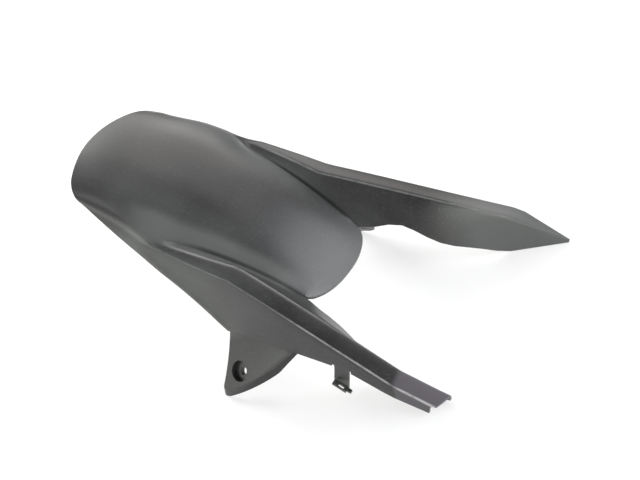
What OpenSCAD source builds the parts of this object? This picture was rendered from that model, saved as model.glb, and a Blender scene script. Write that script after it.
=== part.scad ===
// Rear wheel hugger fender of a motorcycle: one thin moulded shell in black plastic.
// The shell is worked out level, with x forward from the middle of the rear edge, y to
// the left and z up, and is then pitched onto the table that it rests on, on its two
// lugs and the low edges of its two arms.

/* [Main sizes] */
// Full length from the middle of the rear edge to the point of the left arm
length = 507; // [495:1:515]
// Wall thickness of the moulding
wall = 2.8; // [2:0.1:4]

/* [Arch over the tyre] */
// Half the width of the arch at its rear edge
rear_half = 72; // [66:1:80]
// Half the width of the shell where it is deepest
mid_half = 102; // [96:1:110]
// Radius of the crown along its length
crown_r = 420; // [380:5:480]
// Distance of the highest point of the crown from the rear edge
crown_x = 105; // [90:1:120]
// Height of that point above the rear edge
crown_z = 13; // [8:0.5:18]
// Forward bow of the rear edge from its middle to its corners
rear_bow = 24; // [16:1:30]
// Further setback of the rounded rear corners
rear_corner = 12; // [8:1:18]
// Length of the shell up to the two notches beside the tongue
notch_x = 298; // [285:1:310]
// Half the width of the tongue at the notches
tongue_half = 58; // [50:1:64]
// Length of the tongue in front of the notches
tongue_len = 17; // [12:1:26]
// Height of the crown above the valleys at the tongue
tongue_rise = 5; // [3:0.5:8]

/* [Ridges and skirts] */
// Where the valleys and ridges begin
ridge_x = 117; // [105:1:130]
// How much lower the ridges begin
ridge_low = 3; // [1:0.5:7]
// Height of the ridges along the arms
ridge_z = -10; // [-14:0.5:-6]
// Width of the flat strip on the arms
strip_w = 21; // [16:0.5:24]
// Drop of the strip towards the outside
strip_drop = 3; // [1:0.5:5]
// Rounding of the ridges
ridge_r = 4; // [2:0.5:5]
// Where the skirts are deepest
skirt_x = 236; // [225:1:245]
// Height of the lower edge of the skirts at their deepest
skirt_z = -81; // [-88:1:-74]
// Further dip of the lower edge just behind that point
skirt_dip = 15; // [8:1:20]
// Height of the lower edge at the rear corners
rear_z = -11; // [-16:1:-8]
// Outward lean of the skirts in millimetres per millimetre of depth
skirt_lean = 0.05; // [0:0.01:0.1]
// Height of the lip along the lower edge
lip_h = 5; // [3:0.5:8]
// How far the lip stands out
lip_out = 1.2; // [0.5:0.1:2]

/* [Arms] */
// Half the spacing of the outer ridges at the ends of the arms
arm_half = 142; // [134:1:150]
// Where the arms begin to spread
spread_x = 235; // [225:1:260]
// Length of the straight ends of the arms
straight_end = 62; // [55:1:75]
// Fall of the arms beyond the bend, in millimetres per millimetre
bend_fall = 0.3; // [0.2:0.01:0.4]
// The same for the right arm, which bends less
right_fall = 0.1; // [0:0.01:0.2]
// How much shorter the right arm is
right_short = 8; // [0:1:14]
// Slant of its cut end
right_cut = 12; // [6:1:18]
// Depth of the outer wall at the root of the arms
arm_wall = 20; // [14:1:24]
// Depth of the outer wall at the ends of the arms
arm_wall_end = 10; // [6:1:14]
// Inward reach of the blade beside the notch
notch_in = 25; // [20:1:30]
// Depth of the blade beside the notch
notch_down = 24; // [22:1:32]
// Depth of the inner blade of the arms
blade_h = 40; // [34:1:46]
// Inward lean of the blade over its depth at the arm's end
blade_lean = 12; // [8:1:18]

/* [Mounting lugs] */
// Rear end of the lug along the skirt
lug_rear_x = 245; // [238:1:252]
// Front end of the right lug along the skirt
right_lug_x = 318; // [310:1:326]
// Front end of the shorter left lug
left_lug_x = 294; // [288:1:300]
// How far the foot of the lug stands out from the skirt
lug_out = 33; // [28:1:40]
// How far the foot of the lug hangs below the skirt
lug_drop = 49; // [42:1:56]
// Depth of the rim round the lug
lug_rim = 12; // [10:0.5:16]
// Diameter of the bolt hole
bolt_d = 9; // [6:0.1:10]
// Distance of the bolt from the rear end of the lug
bolt_in = 13.5; // [12:0.5:15]
// Distance of the bolt below the skirt, along the lug
bolt_down = 37; // [33:0.5:39]
// Diameter of the pocket for the bolt head
pocket_d = 22; // [18:0.5:24]
// Depth of that pocket
pocket_depth = 6; // [4:0.5:8]
// Length of the bolt hole below the pocket
bolt_wall = 6; // [4:0.5:9]

/* [Hose clip] */
// Distance of the hose clip from the rear edge of the shell
clip_x = 375; // [370:1:382]
// Width of the clip plate
clip_w = 18; // [14:0.5:20]
// How far the clip plate hangs below the arm
clip_drop = 21; // [16:1:28]
// Outward reach of its slotted foot
clip_foot = 6; // [5:0.5:10]
// Thickness of the clip
clip_t = 2.5; // [2:0.1:3]

/* [Resting] */
// Pitch of the shell on the table
rest_pitch = 25; // [24:0.5:28]

/* [Hidden] */
$fn = 48;
left_tip_x = length;
right_tip_x = length - right_short;
bend_x = length - straight_end;
N_BODY = 25;    // steps from the rear edge to the notches
N_TONGUE = 4;   // steps along the tongue
N_ARM = 15;     // steps from the notches to the ends of the arms
COLS = 24;      // columns from the middle of the crown to the lower edge
VALLEY = 9;     // column at the crown side of the valley, the blade side is the next
skirt_rise = 150;   // length over which the skirts rise to the arms
shoulder_x = 95;    // length over which the shallow rear arch turns into a boxy one
rear_turn = 68;     // how far the arch has turned down at the corners of its rear edge
ridge_run = 42;     // length over which the valleys reach their depth
left_tip = [left_tip_x, arm_half - 11, outer_z(bend_x) - bend_fall * 24];

function ease(t) = let (u = min(1, max(0, t))) u * u * (3 - 2 * u);
function mix(a, b, t) = a + (b - a) * t;
function unit(v) = v / norm(v);

// Curves that run along the shell, each as a function of x.
function crown(x) = crown_z - crown_r + sqrt(crown_r * crown_r - pow(x - crown_x, 2));
function spread(x) = min(1, max(0, (x - spread_x) / (bend_x - spread_x)));
function wide(x) = mid_half - (mid_half - rear_half) * pow(1 - x / skirt_x, 2);
function outer_y(x) = x < skirt_x ? wide(x) : mix(mid_half, arm_half, spread(x));
function fall(x) = max(0, x - bend_x) * right_fall;
function outer_z(x) = ridge_z - ridge_low * (1 - ease((x - 100) / 200)) - fall(x);
function strip(x) = mix(4, strip_w, min(1, max(0, (x - ridge_x) / (skirt_x - ridge_x))));
function inner_y(x) = outer_y(x) - strip(x);
function inner_z(x) = outer_z(x) + strip_drop * strip(x) / strip_w;
function to_notch(x) = min(1, max(0, (x - ridge_x) / (notch_x - ridge_x)));
function valley_y(x) = tongue_half + (inner_y(ridge_x) - 2 - tongue_half) * (1 - to_notch(x));
function valley_z(x) = crown(x) - tongue_rise - 24 * pow(1 - to_notch(x), 1.1);

// Lower edge of the skirts, and further forward of the outer walls of the arms.
function low_line(x) = let (dip_x = 0.68 * skirt_x)
    mix(rear_z, skirt_z + skirt_dip, max(0, (x - 40) / (skirt_x - 40)))
    - skirt_dip * pow(max(0, (x - dip_x) / (skirt_x - dip_x)), 2);
function edge_z(x) = x < skirt_x ? low_line(x)
    : mix(skirt_z, outer_z(x) - wall_depth(x), pow(min(1, (x - skirt_x) / skirt_rise), 0.95));
function wall_depth(x) = mix(arm_wall, arm_wall_end, min(1, max(0, (x - skirt_x - skirt_rise) / 110)));
function edge_y(x) = outer_y(x) + skirt_lean * (outer_z(x) - edge_z(x));

// Lower edge of the inner wall: the valley up to the notch, then the blade of the arm.
function blade(x, tip_x) = x <= notch_x ? [valley_y(x), valley_z(x)] : let (
        end = max(0, (x - bend_x) / (tip_x - bend_x)),
        near = ease((x - notch_x) / 40),
        inward = mix(mix(inner_y(notch_x) - valley_y(notch_x), notch_in, near), blade_lean, ease((x - notch_x - 64) / 90)),
        down = mix(mix(inner_z(notch_x) - valley_z(notch_x), notch_down, near), blade_h, ease((x - notch_x - 37) / 60)))
    [inner_y(x) - inward * (1 - end * 0.8), inner_z(x) - down * (1 - end * 0.8)];

// The arch over the tyre: a shallow arc at its rear edge, turning into a flattened ellipse.
function turn(x) = ease(x / shoulder_x);
function arch_end(x) = mix(rear_turn, 90, turn(x));
function arch_power(x) = mix(0.9, 0.7, turn(x));
function arch_pt(x, a) = let (k = arch_power(x), e = arch_end(x))
    [(wide(x) + skirt_lean * (outer_z(x) - low_line(x))) * pow(sin(a) / sin(e), k),
     crown(x) - (crown(x) - low_line(x)) * (1 - pow(cos(a), k)) / (1 - pow(max(0, cos(e)), k))];
function arch_z(x, y) = let (w = wide(x) + skirt_lean * (outer_z(x) - low_line(x)))
    arch_pt(x, asin(min(1, pow(y / w, 1 / arch_power(x)))))[1];

// Angle on the arch at x, beyond its shoulder, at which column j leaves it for the ridges.
function arch_angle(x, j) = let (
        w = wide(x) + skirt_lean * (outer_z(x) - low_line(x)),
        a = asin(pow((valley_y(x) - 1.5) * crown_u(min(j, VALLEY)) / w, 1 / 0.7)))
    j <= VALLEY ? a : mix(a, 90, (j - VALLEY) / (COLS - VALLEY));

// Rounded corner at b between a and c, as its point k of 0, 1 and 2.
function corner(a, b, c, r, k) = let (p = b + unit(a - b) * r, q = b + unit(c - b) * r)
    k == 0 ? p : k == 2 ? q : 0.25 * p + 0.5 * b + 0.25 * q;

// Ridged section: crown, valley, inner wall, strip, outer wall and lip.
function crown_u(j) = pow(j / VALLEY, 0.85);
function ridge_pt(x, j, tip_x) = let (
        v = [valley_y(x), valley_z(x)], k = blade(x, tip_x),
        b = [inner_y(x), inner_z(x)], c = [outer_y(x), outer_z(x)],
        e = [edge_y(x), edge_z(x)], r = min(ridge_r, norm(c - b) * 0.3),
        lip = min(lip_h, 0.26 * (c[1] - e[1])),
        out = [lip_out * ease((x - shoulder_x) / 40) * (1 - ease((x - skirt_x + 10) / 20)), 0])
    j <= VALLEY ? let (u = crown_u(j), y = (v[0] - 1.5) * u)
        [y, arch_z(x, y) - (arch_z(x, v[0] - 1.5) - v[1]) * pow(u, 3.5)]
    : j == VALLEY + 1 ? (x < notch_x - 1 ? k + unit(b - k) * min(3, norm(b - k) * 0.25) : k)
    : j == VALLEY + 2 ? mix(k, b, 0.55)
    : j <= VALLEY + 5 ? corner(k, b, c, min(r, norm(b - k) * 0.35), j - VALLEY - 3)
    : j == VALLEY + 6 ? mix(b, c, 0.5)
    : j <= VALLEY + 9 ? corner(b, c, e, min(r, norm(e - c) * 0.2), j - VALLEY - 7)
    : j <= VALLEY + 11 ? mix(c, e, j == VALLEY + 10 ? 0.33 : 0.5)
    : j == VALLEY + 12 ? e + [0, lip * 1.4]
    : j == VALLEY + 13 ? e + out + [0, lip]
    : j == VALLEY + 14 ? e + out + [0, lip / 2]
    : e + out;

// Section at x: on the arch up to where the ridges begin, then turning into the ridged
// section, with each column where it lies on the arch.
function rear_angle(j) = j <= VALLEY ? 50 * crown_u(j)
    : 50 + 40 * (1 - pow(1 - (j - VALLEY) / (COLS - VALLEY), 1.5));
function section_pt(x, j, tip_x) = let (w = ease((x - ridge_x) / ridge_run))
    x < ridge_x
        ? arch_pt(x, arch_end(x) / 90 * mix(rear_angle(j), arch_angle(ridge_x, j), ease(x / ridge_x)))
    : w < 1 ? mix(arch_pt(x, arch_angle(x, j)), ridge_pt(x, j, tip_x), w)
    : ridge_pt(x, j, tip_x);

// Where station i crosses column j on the left (side 1) or the right (side -1).
function rear_x(j) = let (u = pow(sin(rear_turn / 90 * rear_angle(j)) / sin(rear_turn), 0.9), s = max(0, (u - 0.8) / 0.2))
    rear_bow * u * u + rear_corner * (1 - sqrt(max(0, 1 - s * s)));
function end_x(side, j) = side > 0 ? left_tip_x
    : right_tip_x - right_cut * ease((j - VALLEY - 4) / 6);
function station_x(side, i, j) = i <= N_BODY ? mix(rear_x(j), notch_x, i / N_BODY)
    : j <= VALLEY
        ? notch_x + (3 + tongue_len * pow(1 - pow(crown_u(j), 2.4), 0.75)) * min(1, (i - N_BODY) / N_TONGUE)
        : mix(notch_x, end_x(side, j), (i - N_BODY) / N_ARM);
function flat_pt(side, i, j) = let (x = station_x(side, i, j))
    j <= VALLEY && i > N_BODY
        ? let (s = ridge_pt(notch_x, j, left_tip_x)) [x, s[0], s[1] + crown(x) - crown(notch_x)]
    : side > 0 && x > bend_x
        ? let (s = section_pt(bend_x, j, left_tip_x), t = 0.93 * (x - bend_x) / (left_tip_x - bend_x))
          [x, mix(s[0], left_tip[1], t), mix(s[1], left_tip[2], t)]
    : let (s = section_pt(x, j, end_x(side, 0))) [x, s[0], s[1]];

// The same point on the inner face, one wall thickness in, mitred in its section. The wall
// thins towards the pointed end of the left arm.
function thinning(side, x) = side < 0 ? 1 : 1 - 0.75 * max(0, (x - bend_x) / (left_tip_x - bend_x));
function side_normal(a, b) = unit([0, a[2] - b[2], b[1] - a[1]]);
function first_col(i) = i <= N_BODY ? 0 : VALLEY + 1;
function inner_pt(side, i, j) = let (
        p = flat_pt(side, i, j),
        has_a = j > 0 && !(i > N_BODY && j == VALLEY + 1),
        has_b = j < COLS && !(i > N_BODY && j == VALLEY),
        na = has_a ? side_normal(flat_pt(side, i, j - 1), p) : [0, 0, 0],
        nb = has_b ? side_normal(p, flat_pt(side, i, j + 1)) : [0, 0, 0],
        n = j == 0 ? [0, 0, 1] : has_a && has_b ? (na + nb) / (1 + na * nb) : na + nb)
    p - wall * thinning(side, p[0]) * n;
function mirrored(p, side) = [p[0], p[1] * side, p[2]];

// The whole shell as one grid of columns -COLS to COLS by stations.
N = N_BODY + N_ARM;
W = 2 * COLS + 1;
function side_of(c) = c < 0 ? -1 : 1;
function vertex(i, c) = i * W + c + COLS;
function cell(i, c) = i >= 0 && i < N && c >= -COLS && c < COLS
    && (i < N_BODY || (c >= -VALLEY && c < VALLEY ? i < N_BODY + N_TONGUE
        : c > VALLEY || c < -VALLEY - 1));
module shell() {
    outer = [for (i = [0:N]) for (c = [-COLS:COLS])
        mirrored(flat_pt(side_of(c), i, abs(c)), side_of(c))];
    inner = [for (i = [0:N]) for (c = [-COLS:COLS])
        mirrored(inner_pt(side_of(c), i, abs(c)), side_of(c))];
    M = len(outer);
    faces = [for (i = [0:N - 1]) for (c = [-COLS:COLS - 1]) if (cell(i, c)) let (
            p = vertex(i, c), q = vertex(i + 1, c), r = vertex(i + 1, c + 1), s = vertex(i, c + 1))
        each concat([[p, s, r], [p, r, q], [M + p, M + q, M + r], [M + p, M + r, M + s]],
            cell(i - 1, c) ? [] : [[s, p, M + p], [s, M + p, M + s]],
            cell(i, c + 1) ? [] : [[r, s, M + s], [r, M + s, M + r]],
            cell(i + 1, c) ? [] : [[q, r, M + r], [q, M + r, M + q]],
            cell(i, c - 1) ? [] : [[p, q, M + q], [p, M + q, M + p]])];
    polyhedron(points = concat(outer, inner), faces = faces, convexity = 10);
}

// Frame of a lug on the right-hand side: its origin is at its rear end on the skirt, its
// x runs along the skirt to front_x, and its z stands out of the face.
function lug_a() = [lug_rear_x, -edge_y(lug_rear_x), edge_z(lug_rear_x)];
function lug_b(front_x) = [front_x, -edge_y(front_x), edge_z(front_x)];
function lug_foot() = lug_a() + [4, -lug_out, -lug_drop];
function lug_x(front_x) = unit(lug_b(front_x) - lug_a());
function lug_n(front_x) = unit(cross(lug_x(front_x), lug_a() - lug_foot()));
function lug_y(front_x) = cross(lug_n(front_x), lug_x(front_x));
function lug_l(front_x) = norm(lug_b(front_x) - lug_a());
function lug_d(front_x) = (lug_a() - lug_foot()) * lug_y(front_x);
function lug_world(front_x, p) = lug_a() + lug_x(front_x) * p[0] + lug_y(front_x) * p[1] + lug_n(front_x) * p[2];

// Outline of the lug in its own plane, drawn in by d for the hollow behind the face: its
// rear edge, the rounded foot, and a swept front edge that runs out into the skirt.
function bend(a, b, c, n) = [for (k = [0:n]) let (t = k / n) a * pow(1 - t, 2) + 2 * b * t * (1 - t) + c * t * t];
function lug_outline(l, h, d) = concat(
    bend([-8 + d, 3 + d * 4], [-3 + d, -0.4 * h], [-5.5 + d, -h + 3 + d], 6),
    bend([-5.5 + d, -h + 1.5 + d], [-6 + d * 0.6, -h - 1 + d], [-2 + d * 0.3, -h - 1 + d * 1.2], 3),
    bend([3 + d * 0.4, -h + d * 1.2], [4 + 0.32 * l - d * 0.5, -0.8 * h + d], [4 + 0.67 * l - d * 0.7, -0.44 * h + d], 6),
    bend([4 + 0.77 * l - d * 0.7, -0.33 * h + d], [1.01 * l - d * 0.8, -0.06 * h + d], [1.19 * l - d * 0.9, 9 + d * 4], 5));

// The lug: a face with a rim that hangs down along w, and a boss with the bolt's pocket.
function lug_w(front_x) = unit([-0.05, -0.1, 1]);
module lug(front_x) {
    x = lug_x(front_x); y = lug_y(front_x); n = lug_n(front_x); w = lug_w(front_x);
    l = lug_l(front_x); h = lug_d(front_x);
    face = wall / (w * n);
    module frame(z) { multmatrix([for (k = [0:2]) [x[k], y[k], z[k], lug_a()[k]]]) children(); }
    difference() {
        union() {
            difference() {
                frame(w) translate([0, 0, -lug_rim]) linear_extrude(lug_rim) polygon(lug_outline(l, h, 0));
                frame(w) translate([0, 0, -lug_rim - 1]) linear_extrude(lug_rim + 1 - face) polygon(lug_outline(l, h, wall));
                multmatrix([for (k = [0:2]) [x[k], w[k], -y[k], lug_a()[k]]]) translate([0, 0, -12]) linear_extrude(h + 16)
                    polygon([[0.82 * l, -lug_rim - 1], [1.26 * l, -face], [1.26 * l, -lug_rim - 1]]);
            }
            frame(n) translate([bolt_in, -bolt_down, -pocket_depth - bolt_wall])
                cylinder(d = pocket_d + 2 * wall, h = pocket_depth + bolt_wall - wall / 2);
        }
        frame(n) translate([bolt_in, -bolt_down, -pocket_depth]) cylinder(d = pocket_d, h = pocket_depth + 1);
        frame(n) translate([bolt_in, -bolt_down, -pocket_depth - bolt_wall - 1]) cylinder(d = bolt_d, h = bolt_wall + 2);
    }
}

// Clip for the brake hose under the right arm: a hanging plate with a slotted foot that
// ends in a prong, and the two slits beside it in the arm's lower edge.
clip_slit = 3;
function clip_y() = -edge_y(clip_x) + wall + 0.4;
module hose_clip() {
    low = edge_z(clip_x) - clip_drop;
    run = (edge_y(clip_x + clip_w) - edge_y(clip_x)) / clip_w;
    multmatrix([[1, 0, 0, clip_x], [-run, 1, 0, clip_y()], [0, 0, 1, low]]) difference() {
        union() {
            translate([0, -clip_t, 0]) cube([clip_w, clip_t, edge_z(clip_x + clip_w) + 3 - low]);
            translate([1, -clip_t - clip_foot, 0]) cube([clip_w - 1, clip_foot + clip_t, clip_t]);
            translate([clip_w - 1, -clip_t - clip_foot * 0.6, 0]) cube([6, clip_foot * 0.6, clip_t]);
        }
        translate([clip_w * 0.4, -clip_t - clip_foot * 0.75, -1]) cube([clip_w * 0.4, clip_foot * 0.5, clip_t + 2]);
    }
}
module clip_slits() {
    for (x = [clip_x - clip_slit, clip_x + clip_w])
        translate([x, clip_y() - wall - 6, edge_z(x) - 6]) cube([clip_slit, wall + 12, 6 + clip_slit]);
}

// Resting place: pitched about y, with the middle of the outline over the origin.
function pitched(p) = [p[0] * cos(rest_pitch) + p[2] * sin(rest_pitch), p[1],
    p[2] * cos(rest_pitch) - p[0] * sin(rest_pitch)];
grid = [for (i = [0:N]) for (c = [-1, 1]) for (j = [0:COLS])
    if (i <= N_BODY || j > VALLEY) for (q = [flat_pt(c, i, j), inner_pt(c, i, j)]) pitched(q)];
lug_pts = [for (f = [right_lug_x, left_lug_x]) for (q = lug_outline(lug_l(f), lug_d(f), 0)) for (d = [0, lug_rim])
    pitched(lug_world(f, [q[0], q[1], 0]) - d * lug_w(f))];
low_z = min([for (q = concat(grid, lug_pts)) q[2]]);
mid_x = (min([for (q = grid) q[0]]) + max([for (q = grid) q[0]])) / 2;

module rear_fender() {
    color([0.2, 0.2, 0.21])
    translate([-mid_x, 0, -low_z]) rotate([0, rest_pitch, 0]) union() {
        difference() {
            shell();
            clip_slits();
        }
        lug(right_lug_x);
        mirror([0, 1, 0]) lug(left_lug_x);
        hose_clip();
    }
}

rear_fender();
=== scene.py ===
# Rear wheel hugger fender of a motorcycle: the moulded shell's finish, the table and the light.
import math
import bpy
from mathutils import Matrix, Vector


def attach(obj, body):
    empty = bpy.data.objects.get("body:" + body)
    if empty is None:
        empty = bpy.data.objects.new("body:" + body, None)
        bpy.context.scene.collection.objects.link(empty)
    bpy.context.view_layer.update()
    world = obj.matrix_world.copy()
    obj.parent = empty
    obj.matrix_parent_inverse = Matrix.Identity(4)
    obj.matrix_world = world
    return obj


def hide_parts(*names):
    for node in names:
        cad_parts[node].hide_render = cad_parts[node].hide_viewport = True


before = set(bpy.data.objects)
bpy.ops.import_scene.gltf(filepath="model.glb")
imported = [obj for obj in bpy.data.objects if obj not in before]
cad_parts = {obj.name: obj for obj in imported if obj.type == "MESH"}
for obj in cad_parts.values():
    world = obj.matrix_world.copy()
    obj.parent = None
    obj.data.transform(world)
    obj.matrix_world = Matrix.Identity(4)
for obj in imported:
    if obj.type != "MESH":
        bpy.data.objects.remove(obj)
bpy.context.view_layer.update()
scene = bpy.context.scene

# The fender lies pitched on the table. These turn a place on the level fender into the frame.
PITCH = math.radians(25.0)
MIDDLE = 0.225594
LIFT = 0.232233

# Stations of the moulding, in metres forward of its rear edge while it is level.
CROWN_X = 0.105
VALLEY_X = 0.117
BEND_X = 0.236
NOTCH_X = 0.298
FACET_X = 0.445
TIP_X = 0.507

# Linear colours: the plastic's own blacks and speck grey, and the painted light and shade laid on it.
FRESH_BLACK = (0.024, 0.024, 0.0245)
# Darker black on the arms: painted shade.
ARM_SHADE_BLACK = (0.012, 0.012, 0.012)
# Grey for painted sheen and bounced light, and for random specks.
SHEEN_AND_SPECK_GREY = (0.079, 0.082, 0.080)
# Purple grey on the right arm's tip facet: painted reflection.
TIP_REFLECTION_GREY = (0.085, 0.077, 0.089)
# Light grey for painted highlight along the ridges.
RIDGE_HIGHLIGHT_GREY = (0.34, 0.34, 0.34)
# Grey for painted highlight in the far valley.
VALLEY_HIGHLIGHT_GREY = (0.20, 0.21, 0.22)
# Black for painted shade under the lug rims and in the valleys.
PAINTED_SHADE_BLACK = (0.004, 0.004, 0.004)

# How the skin is joined and shaded.
WELD = 0.00002
FLAT_FACES = math.radians(12)
QUAD_SHAPE = math.radians(60)
SHARP_EDGE = math.radians(34)
NORMAL_WEIGHT = 70


def pitched(v):
    """A direction on the level fender, as it lies on the table."""
    c, s = math.cos(PITCH), math.sin(PITCH)
    return Vector((v[0] * c + v[2] * s, v[1], v[2] * c - v[0] * s))


def on_table(p):
    """A point on the level fender, in metres from the middle of its rear edge."""
    return pitched(p) + Vector((-MIDDLE, 0.0, LIFT))


# Shader sockets


class Sock:
    """One shader socket, with the arithmetic that the finishes use."""

    def __init__(self, tree, out):
        self.tree = tree
        self.out = out

    def math(self, operation, *values):
        return node(self.tree, "ShaderNodeMath", {"operation": operation}, *values)

    def __add__(self, other):
        return self.math("ADD", self, other)

    __radd__ = __add__

    def __mul__(self, other):
        return self.math("MULTIPLY", self, other)

    __rmul__ = __mul__

    def __sub__(self, other):
        return self.math("SUBTRACT", self, other)

    def __rsub__(self, other):
        return self.math("SUBTRACT", other, self)

    def __pow__(self, other):
        return self.math("POWER", self, other)


def node(tree, kind, settings=None, *values, output=0, **named):
    """Any node: its settings first, then values or links for its sockets."""
    made = tree.nodes.new(kind)
    for key, value in (settings or {}).items():
        setattr(made, key, value)
    wanted = list(enumerate(values)) + [(k.replace("_", " "), v) for k, v in named.items()]
    for key, value in wanted:
        socket = made.inputs[key]
        if isinstance(value, Sock):
            tree.links.new(value.out, socket)
        else:
            socket.default_value = value
    return Sock(tree, made.outputs[output]) if made.outputs else None


def smooth(x, low, high):
    """0 below low, 1 above high, eased between."""
    return node(x.tree, "ShaderNodeMapRange", {"interpolation_type": "SMOOTHSTEP"}, x, low, high, 0.0, 1.0)


def ramp(x, low, high):
    """0 below low, 1 above high, straight between."""
    return node(x.tree, "ShaderNodeMapRange", None, x, low, high, 0.0, 1.0)


def band(x, start, full, fading, gone):
    """0 outside start and gone, 1 between full and fading, eased between."""
    return smooth(x, start, full) * (1.0 - smooth(x, fading, gone))


def near(gap_y, gap_z, width, core=0.35):
    """1 close to a line and 0 one width away from it, from the two distances to it."""
    away = ((gap_y * gap_y) + (gap_z * gap_z)) ** 0.5
    return 1.0 - smooth(away, width * core, width)


def blend(tree, factor, one, other):
    """Mix of two colours, by the colour sockets of the mix node."""
    made = tree.nodes.new("ShaderNodeMix")
    made.data_type = "RGBA"
    for key, value in ((0, factor), (6, one), (7, other)):
        if isinstance(value, Sock):
            tree.links.new(value.out, made.inputs[key])
        else:
            made.inputs[key].default_value = value if key == 0 else (*value, 1.0)
    return Sock(tree, made.outputs[2])


def new_material(name):
    made = bpy.data.materials.new(name)
    made.use_nodes = True
    tree = made.node_tree
    tree.nodes.clear()
    return made, tree


# Moulded plastic


class Spot:
    """Where a shaded point lies: along, across and height in the frame, x and z when level."""

    def __init__(self, tree):
        self.tree = tree
        self.place = node(tree, "ShaderNodeTexCoord", None, output="Object")
        apart = tree.nodes.new("ShaderNodeSeparateXYZ")
        tree.links.new(self.place.out, apart.inputs[0])
        self.along, self.across, self.height = (Sock(tree, out) for out in apart.outputs)
        self.side = node(tree, "ShaderNodeMath", {"operation": "ABSOLUTE"}, self.across)
        self.left = smooth(self.across, 0.0, 0.05)
        self.right = smooth(self.across, 0.0, -0.05)
        c, s = math.cos(PITCH), math.sin(PITCH)
        ahead, above = self.along + MIDDLE, self.height - LIFT
        self.x = ahead * c - above * s
        self.z = ahead * s + above * c

    def noise(self, scale, detail):
        """Noise over the moulding."""
        return node(self.tree, "ShaderNodeTexNoise", None, Vector=self.place, Scale=scale, Detail=detail)


def outer_ridge(spot):
    """Half width and height of the outer ridge, from the curves that the moulding follows."""
    half, bowed, spread, spread_x = 0.102, 0.030, 0.040, 0.235
    level, rise, drop = -0.013, 0.003, 0.0062
    bow = 1.0 - ramp(spot.x, 0.0, BEND_X)
    y = half - bowed * bow * bow + spread * ramp(spot.x, spread_x, FACET_X)
    z = level + rise * smooth(spot.x, 0.1, 0.3) - drop * ramp(spot.x, FACET_X, TIP_X)
    return y, z


def valley_line(spot):
    """Half width and height of the valley beside the crown, which rises to the notch."""
    tongue_half, spread = 0.058, 0.0255
    crown_radius, crown_centre = 0.42, 0.407
    depth, drop = 0.005, 0.024
    before_notch = 1.0 - ramp(spot.x, VALLEY_X, NOTCH_X)
    from_crown = spot.x - CROWN_X
    crown = (crown_radius * crown_radius - from_crown * from_crown) ** 0.5 - crown_centre
    return tongue_half + spread * before_notch, crown - depth - drop * before_notch


def ridge_highlights(spot):
    """Mask of painted highlight along the two ridges on either side of the strip, strongest along the
    arms.
    """
    y, z = outer_ridge(spot)
    strip_slope = 0.143
    strip = 0.004 + 0.017 * ramp(spot.x, VALLEY_X, BEND_X)
    gap_y, gap_z = spot.side - y, spot.z - z
    outer = near(gap_y, gap_z, 0.0024) * smooth(spot.x, 0.13, 0.19)
    inner = near(gap_y + strip, gap_z - strip * strip_slope, 0.0022) * smooth(spot.x, 0.14, 0.18)
    return outer * (0.25 + 0.65 * smooth(spot.along, 0.02, 0.09)) + inner * 0.28


def valley_highlight_and_shade(spot):
    """Masks of the painted highlight and of the painted shade in the two valleys."""
    y, z = valley_line(spot)
    valley = near(spot.side - y, spot.z - z, 0.0045) * band(spot.x, 0.15, 0.2, 0.31, 0.33)
    low_end = smooth(spot.along, 0.0, 0.075)
    far_valley = valley * smooth(spot.across, -0.01, 0.01)
    near_valley = valley * smooth(spot.across, 0.01, -0.01)
    return far_valley * low_end * 0.8, near_valley * 0.7 + far_valley * (1.0 - low_end) * 0.9


def painted_light_patches(spot, right_tip, broad):
    """How much painted light each part gets: lighter patches for sheen, reflections and light bounced from
    the table, varied by broad noise.
    """
    skirts = band(spot.side, 0.088, 0.101, 0.107, 0.113) * (1.0 - smooth(spot.along, -0.06, 0.01))
    tongue = smooth(spot.along, -0.02, 0.045) * (1.0 - smooth(spot.side, 0.050, 0.068))
    left_tip = smooth(spot.along, 0.08, 0.15) * spot.left
    shoulder = band(spot.side, 0.030, 0.055, 0.072, 0.088) * band(spot.along, -0.215, -0.15, -0.07, 0.01)
    shoulder = shoulder * (0.25 + 0.45 * smooth(spot.across, 0.0, 0.03))
    past_valley = spot.side - valley_line(spot)[0]
    # Painted sheen along the right flank beside the valley.
    flank = band(past_valley, -0.022, -0.008, 0.008, 0.016) * band(spot.x, 0.085, 0.125, 0.27, 0.30)
    past_ridge = spot.side - outer_ridge(spot)[0]
    wall = smooth(past_ridge, 0.001, 0.006) * smooth(spot.x, 0.27, 0.32) * (1.0 - right_tip)
    # Painted light on the clip's foot, which lies in the arm's shadow.
    clip_foot = smooth(spot.height, 0.030, 0.026) * band(spot.along, 0.085, 0.090, 0.125, 0.130)
    both_sides = skirts * 0.6 + shoulder + tongue * 0.55 + left_tip
    right_only = (clip_foot + flank * 0.8 + wall * 0.4) * spot.right
    return (both_sides + right_only) * (0.75 + 0.5 * broad)


def lug_rim_shade(spot):
    """Mask of painted shade on the rim along the lower front edge of each lug."""
    slope = 0.565
    below_face = smooth(spot.height - spot.along * slope, 0.029, 0.0245)
    return below_face * smooth(spot.side, 0.112, 0.118) * band(spot.along, -0.035, -0.015, 0.05, 0.06)


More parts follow.
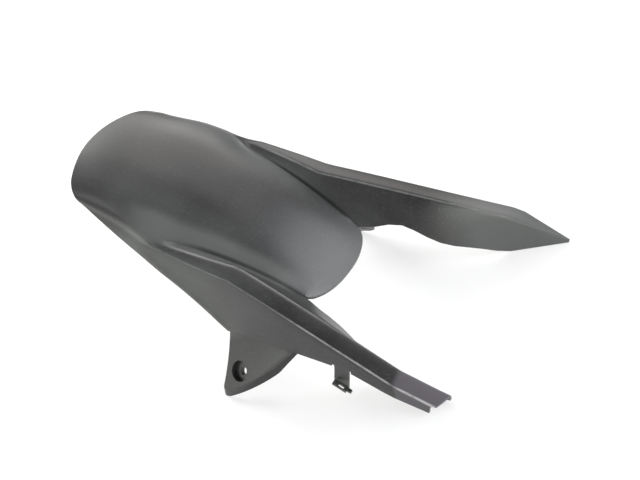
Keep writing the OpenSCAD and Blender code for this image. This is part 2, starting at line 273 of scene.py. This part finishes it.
def plastic_colour(spot, broad, grain, rubs):
    """Black, darker on the arms as painted shade, then painted sheen and bounced light with random specks
    in grey, painted reflection on the right tip, painted shade under the lug rims, painted highlights on
    the ridges and in the far valley, and painted shade in the valleys, in that order.
    """
    tree = spot.tree
    # The arms get a darker black: painted shade for their shaded faces.
    arms = smooth(spot.side, 0.070, 0.080) * smooth(spot.along, -0.01, 0.05)
    # Painted reflection on the right arm's tip facet.
    right_tip = smooth(spot.along, 0.170, 0.177) * spot.right
    specks = (smooth(broad, 0.42, 0.68) * 0.10 + smooth(rubs, 0.55, 0.75) * 0.12
              + smooth(grain, 0.5, 0.8) * 0.3)
    # Painted light (sheen, reflections, table-bounced light) plus random specks, all laid on in grey.
    sheen_and_specks = node(tree, "ShaderNodeMath", {"operation": "ADD", "use_clamp": True},
                painted_light_patches(spot, right_tip, broad), specks)
    # Painted highlight in the far valley, and painted shade in both valleys.
    valley_glint, shaded = valley_highlight_and_shade(spot)
    # Painted highlight along the ridges, patchy by the streaky noise.
    ridge_glint = ridge_highlights(spot) * (0.5 + 0.5 * smooth(rubs, 0.30, 0.55))
    colour = blend(tree, arms, FRESH_BLACK, ARM_SHADE_BLACK)
    layers = ((sheen_and_specks, SHEEN_AND_SPECK_GREY), (right_tip * 0.75, TIP_REFLECTION_GREY), (lug_rim_shade(spot) * 0.9, PAINTED_SHADE_BLACK),
              (ridge_glint, RIDGE_HIGHLIGHT_GREY), (valley_glint, VALLEY_HIGHLIGHT_GREY), (shaded, PAINTED_SHADE_BLACK))
    for share, tint in layers:
        colour = blend(tree, share, colour, tint)
    return colour


def moulded_plastic():
    """Black unpainted plastic: mould grain and faint rubs, with painted light and shade in its colour."""
    made, tree = new_material("moulded_plastic")
    spot = Spot(tree)
    fine = spot.noise(2600.0, 2.0)
    grain = spot.noise(420.0, 3.0)
    broad = spot.noise(14.0, 3.0)
    streaky = node(tree, "ShaderNodeMapping", None, spot.place, Scale=(14.0, 60.0, 60.0))
    rubs = node(tree, "ShaderNodeTexNoise", None, Vector=streaky, Scale=3.0, Detail=5.0, Roughness=0.7)
    colour = plastic_colour(spot, broad, grain, rubs)
    rough = 0.29 + 0.07 * broad + 0.05 * smooth(rubs, 0.5, 0.75)
    bump = node(tree, "ShaderNodeBump", None, Strength=0.25, Distance=0.00006, Height=fine)
    shader = node(tree, "ShaderNodeBsdfPrincipled", None, Base_Color=colour, Roughness=rough, Normal=bump,
                  IOR=1.5)
    node(tree, "ShaderNodeOutputMaterial", None, Surface=shader)
    return made


# The shell


def only(piece):
    """Selects this piece and nothing else."""
    bpy.ops.object.select_all(action="DESELECT")
    piece.select_set(True)
    bpy.context.view_layer.objects.active = piece


def fender_shell():
    """The moulding as one joined skin, smooth apart from its sharp edges."""
    only(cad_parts["rear_fender"])
    bpy.ops.object.duplicate()
    skin = bpy.context.object
    skin.name = "fender_moulding"
    skin.data.name = "fender_moulding"
    only(skin)
    bpy.ops.object.mode_set(mode="EDIT")
    bpy.ops.mesh.select_all(action="SELECT")
    bpy.ops.mesh.remove_doubles(threshold=WELD)
    bpy.ops.mesh.tris_convert_to_quads(face_threshold=FLAT_FACES, shape_threshold=QUAD_SHAPE)
    bpy.ops.object.mode_set(mode="OBJECT")
    bpy.ops.mesh.customdata_custom_splitnormals_clear()
    bpy.ops.object.shade_smooth_by_angle(angle=SHARP_EDGE)
    bpy.ops.object.modifier_add(type="WEIGHTED_NORMAL")
    weighted = skin.modifiers[-1]
    weighted.keep_sharp = True
    weighted.weight = NORMAL_WEIGHT
    bpy.ops.object.modifier_apply(modifier=weighted.name)
    skin.data.materials.clear()
    skin.data.materials.append(moulded_plastic())
    return skin


shell = fender_shell()
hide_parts("rear_fender")
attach(shell, "root")


# Table and light

WHITE = (1.0, 1.0, 1.0, 1.0)
TABLE_PAINT = (0.8, 0.8, 0.8, 1.0)
TABLE_GLOW = 0.62
TABLE_SIZE = 12.0
ROOM_LIGHT = 0.28
LAMP_AIM = Vector((0.0, 0.0, 0.1))


def white_table():
    """White table that runs out of the picture and keeps a faint shadow."""
    made, tree = new_material("white_table")
    seen = node(tree, "ShaderNodeLightPath", None, output="Is Camera Ray")
    gloss = node(tree, "ShaderNodeLightPath", None, output="Is Glossy Ray")
    glow = node(tree, "ShaderNodeEmission", None, WHITE, 1.0)
    matte = node(tree, "ShaderNodeBsdfDiffuse", None, TABLE_PAINT)
    share = node(tree, "ShaderNodeMath", {"operation": "MAXIMUM"}, seen, gloss) * TABLE_GLOW
    both = node(tree, "ShaderNodeMixShader", None, share, matte, glow)
    node(tree, "ShaderNodeOutputMaterial", None, Surface=both)
    return made


def soft_lamp(name, place, size, power, tint=(1.0, 1.0, 1.0)):
    """A large soft lamp that faces the fender."""
    data = bpy.data.lights.new(name, "AREA")
    data.shape = "RECTANGLE"
    data.size, data.size_y = size
    data.energy = power
    data.color = tint
    lamp = bpy.data.objects.new(name, data)
    scene.collection.objects.link(lamp)
    lamp.location = place
    lamp.rotation_mode = "QUATERNION"
    lamp.rotation_quaternion = (LAMP_AIM - Vector(place)).to_track_quat("-Z", "Y")


def pale_room():
    """White to the camera, and dimmer as a light."""
    world = bpy.data.worlds.new("pale_room")
    scene.world = world
    world.use_nodes = True
    tree = world.node_tree
    tree.nodes.clear()
    seen = node(tree, "ShaderNodeLightPath", None, output="Is Camera Ray")
    strength = ROOM_LIGHT + (1.0 - ROOM_LIGHT) * seen
    room = node(tree, "ShaderNodeBackground", None, WHITE, strength)
    node(tree, "ShaderNodeOutputWorld", None, Surface=room)


bpy.ops.mesh.primitive_plane_add(size=TABLE_SIZE, location=(0.0, 0.0, 0.0))
table = bpy.context.object
table.name = "table_top"
table.data.materials.append(white_table())

soft_lamp("far_window", (-1.0, 2.2, 1.35), (1.8, 1.2), 3.0, (1.0, 0.96, 0.93))
soft_lamp("far_high", (-0.3, 1.9, 1.9), (1.6, 1.2), 14.0, (1.0, 0.96, 0.93))
soft_lamp("far_right_sky", (1.7, 1.6, 1.5), (1.2, 1.2), 16.5, (0.93, 0.97, 1.0))
soft_lamp("far_mid_left", (-1.6, 1.8, 1.6), (1.4, 1.4), 8.0, (1.0, 0.97, 0.94))
soft_lamp("near_left_wall", (-2.2, -1.3, 0.5), (1.2, 1.0), 4.0, (0.97, 1.0, 0.92))
soft_lamp("near_low_wall", (0.2, -2.5, 0.7), (2.0, 1.0), 20.0, (0.97, 1.0, 0.92))
soft_lamp("near_left_low", (-1.4, -2.2, 0.9), (1.4, 1.0), 16.0, (0.97, 1.0, 0.93))
soft_lamp("far_left_wall", (-2.4, 1.0, 1.2), (1.4, 1.4), 153.0, (0.97, 1.0, 0.96))
soft_lamp("near_left_ceiling", (-0.9, -1.1, 2.1), (0.7, 0.7), 4.0)
soft_lamp("right_wall", (2.4, 0.2, 0.8), (1.4, 1.2), 88.0, (0.97, 0.97, 1.0))
pale_room()


# Camera

SENSOR_WIDTH = 36.0
LENS = 112.5
CLIP = (0.05, 40.0)
EYE = (1.01543, -1.26670, 1.44752)
TURN = math.radians(30)
TILT = math.radians(45)


def photo_camera():
    """Long lens above the right front of the fender, level while the fender is level."""
    eye = bpy.data.cameras.new("photo_camera")
    eye.sensor_width = SENSOR_WIDTH
    eye.lens = LENS
    eye.clip_start, eye.clip_end = CLIP
    camera = bpy.data.objects.new("photo_camera", eye)
    scene.collection.objects.link(camera)
    reach = math.cos(TILT)
    ahead = pitched((-math.sin(TURN) * reach, math.cos(TURN) * reach, -math.sin(TILT)))
    right = pitched((math.cos(TURN), math.sin(TURN), 0.0))
    up = right.cross(ahead)
    camera.location = on_table(EYE)
    camera.rotation_mode = "QUATERNION"
    camera.rotation_quaternion = Matrix((right, up, -ahead)).transposed().to_quaternion()
    return camera


scene.camera = photo_camera()
scene.view_settings.view_transform = "Standard"
